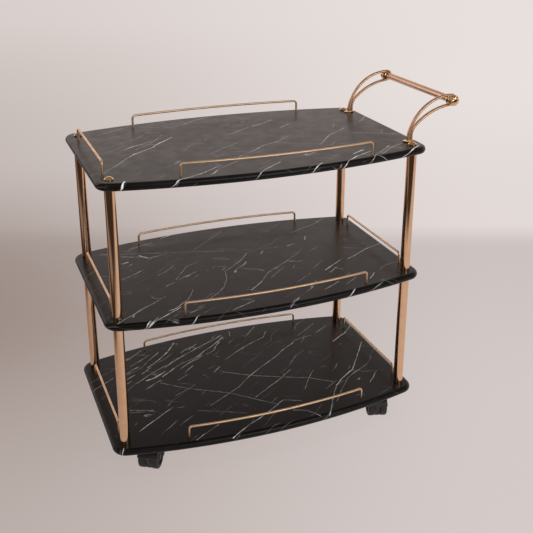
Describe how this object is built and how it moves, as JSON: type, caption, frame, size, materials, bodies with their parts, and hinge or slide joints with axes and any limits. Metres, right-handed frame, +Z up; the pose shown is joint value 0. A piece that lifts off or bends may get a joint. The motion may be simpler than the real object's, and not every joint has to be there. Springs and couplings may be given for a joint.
{
  "type": "tea trolley",
  "caption": "Tea trolley with bowed black marble-look shelves on rose-gold tube posts, bent-wire rails, a forked push handle and swivelling twin-wheel casters.",
  "frame": {"origin": "on the floor, under the middle of the overall outline with the casters at rest", "axes": "+X along the shelves towards the push handle, +Y across the shelves, +Z up"},
  "size_m": [0.808, 0.4698, 0.7671],
  "materials": {
    "marble_board": "satin black marble pattern with thin white veins on a fibreboard core",
    "rose_gold_tube": "polished rose-gold coating on steel tube",
    "rose_gold_wire": "polished rose-gold coating on steel wire",
    "rose_gold_casting": "polished rose-gold coating on a casting",
    "handle_bar_metal": "satin rose gold with fine lengthwise grooves",
    "plug_nylon": "moulded nylon",
    "zinc_steel": "zinc-plated steel",
    "black_steel": "black-coated steel axle",
    "caster_nylon": "moulded black nylon",
    "wheel_nylon": "moulded black nylon"
  },
  "bodies": {
    "frame": {"caster_back_left_plate": "zinc_steel", "caster_back_right_plate": "zinc_steel", "caster_front_left_plate": "zinc_steel", "caster_front_right_plate": "zinc_steel", "caster_kingpins": "zinc_steel", "caster_plate_screws": "zinc_steel", "foot_bolts": "zinc_steel", "foot_washers": "zinc_steel", "handle_arm_back": "rose_gold_casting", "handle_arm_front": "rose_gold_casting", "handle_arm_screws": "zinc_steel", "handle_bar": "handle_bar_metal", "handle_cap_back": "rose_gold_casting", "handle_cap_front": "rose_gold_casting", "handle_end_screws": "zinc_steel", "joining_studs": "zinc_steel", "lower_post_back_left": "rose_gold_tube", "lower_post_back_right": "rose_gold_tube", "lower_post_front_left": "rose_gold_tube", "lower_post_front_right": "rose_gold_tube", "lower_post_plugs": "plug_nylon", "rail_bottom_back": "rose_gold_wire", "rail_bottom_front": "rose_gold_wire", "rail_bottom_left": "rose_gold_wire", "rail_bottom_right": "rose_gold_wire", "rail_middle_back": "rose_gold_wire", "rail_middle_front": "rose_gold_wire", "rail_middle_left": "rose_gold_wire", "rail_middle_right": "rose_gold_wire", "rail_top_back": "rose_gold_wire", "rail_top_front": "rose_gold_wire", "rail_top_left": "rose_gold_wire", "shelf_bottom": "marble_board", "shelf_middle": "marble_board", "shelf_top": "marble_board", "swivel_washers": "zinc_steel", "top_cap_screws": "rose_gold_casting", "upper_post_back_left": "rose_gold_tube", "upper_post_back_right": "rose_gold_tube", "upper_post_front_left": "rose_gold_tube", "upper_post_front_right": "rose_gold_tube", "upper_post_plugs": "plug_nylon"},
    "swivel_front_left": {"caster_front_left_hood": "caster_nylon", "caster_front_left_axle": "black_steel"},
    "wheel_front_left_left": {"caster_front_left_wheel_left": "wheel_nylon"},
    "wheel_front_left_right": {"caster_front_left_wheel_right": "wheel_nylon"},
    "swivel_front_right": {"caster_front_right_hood": "caster_nylon", "caster_front_right_axle": "black_steel"},
    "wheel_front_right_left": {"caster_front_right_wheel_left": "wheel_nylon"},
    "wheel_front_right_right": {"caster_front_right_wheel_right": "wheel_nylon"},
    "swivel_back_left": {"caster_back_left_hood": "caster_nylon", "caster_back_left_axle": "black_steel"},
    "wheel_back_left_left": {"caster_back_left_wheel_left": "wheel_nylon"},
    "wheel_back_left_right": {"caster_back_left_wheel_right": "wheel_nylon"},
    "swivel_back_right": {"caster_back_right_hood": "caster_nylon", "caster_back_right_axle": "black_steel"},
    "wheel_back_right_left": {"caster_back_right_wheel_left": "wheel_nylon"},
    "wheel_back_right_right": {"caster_back_right_wheel_right": "wheel_nylon"}
  },
  "joints": [
    {"name": "swivel_front_left_turn", "type": "hinge", "parent": "frame", "child": "swivel_front_left", "pos_m": [-0.31, -0.1415, 0.059], "axis": [0, 0, 1], "continuous": true},
    {"name": "wheel_front_left_left_spin", "type": "hinge", "parent": "swivel_front_left", "child": "wheel_front_left_left", "pos_m": [-0.32089, -0.15827, 0.025], "axis": [0.8387, -0.5446, 0], "continuous": true},
    {"name": "wheel_front_left_right_spin", "type": "hinge", "parent": "swivel_front_left", "child": "wheel_front_left_right", "pos_m": [-0.32089, -0.15827, 0.025], "axis": [0.8387, -0.5446, 0], "continuous": true},
    {"name": "swivel_front_right_turn", "type": "hinge", "parent": "frame", "child": "swivel_front_right", "pos_m": [0.238, -0.1415, 0.059], "axis": [0, 0, 1], "continuous": true},
    {"name": "wheel_front_right_left_spin", "type": "hinge", "parent": "swivel_front_right", "child": "wheel_front_right_left", "pos_m": [0.23215, -0.16063, 0.025], "axis": [0.9563, -0.2924, 0], "continuous": true},
    {"name": "wheel_front_right_right_spin", "type": "hinge", "parent": "swivel_front_right", "child": "wheel_front_right_right", "pos_m": [0.23215, -0.16063, 0.025], "axis": [0.9563, -0.2924, 0], "continuous": true},
    {"name": "swivel_back_left_turn", "type": "hinge", "parent": "frame", "child": "swivel_back_left", "pos_m": [-0.31, 0.1415, 0.059], "axis": [0, 0, 1], "continuous": true},
    {"name": "wheel_back_left_left_spin", "type": "hinge", "parent": "swivel_back_left", "child": "wheel_back_left_left", "pos_m": [-0.32, 0.12418, 0.025], "axis": [0.866, -0.5, 0], "continuous": true},
    {"name": "wheel_back_left_right_spin", "type": "hinge", "parent": "swivel_back_left", "child": "wheel_back_left_right", "pos_m": [-0.32, 0.12418, 0.025], "axis": [0.866, -0.5, 0], "continuous": true},
    {"name": "swivel_back_right_turn", "type": "hinge", "parent": "frame", "child": "swivel_back_right", "pos_m": [0.238, 0.1415, 0.059], "axis": [0, 0, 1], "continuous": true},
    {"name": "wheel_back_right_left_spin", "type": "hinge", "parent": "swivel_back_right", "child": "wheel_back_right_left", "pos_m": [0.22488, 0.12641, 0.025], "axis": [0.7547, -0.6561, 0], "continuous": true},
    {"name": "wheel_back_right_right_spin", "type": "hinge", "parent": "swivel_back_right", "child": "wheel_back_right_right", "pos_m": [0.22488, 0.12641, 0.025], "axis": [0.7547, -0.6561, 0], "continuous": true}
  ]
}
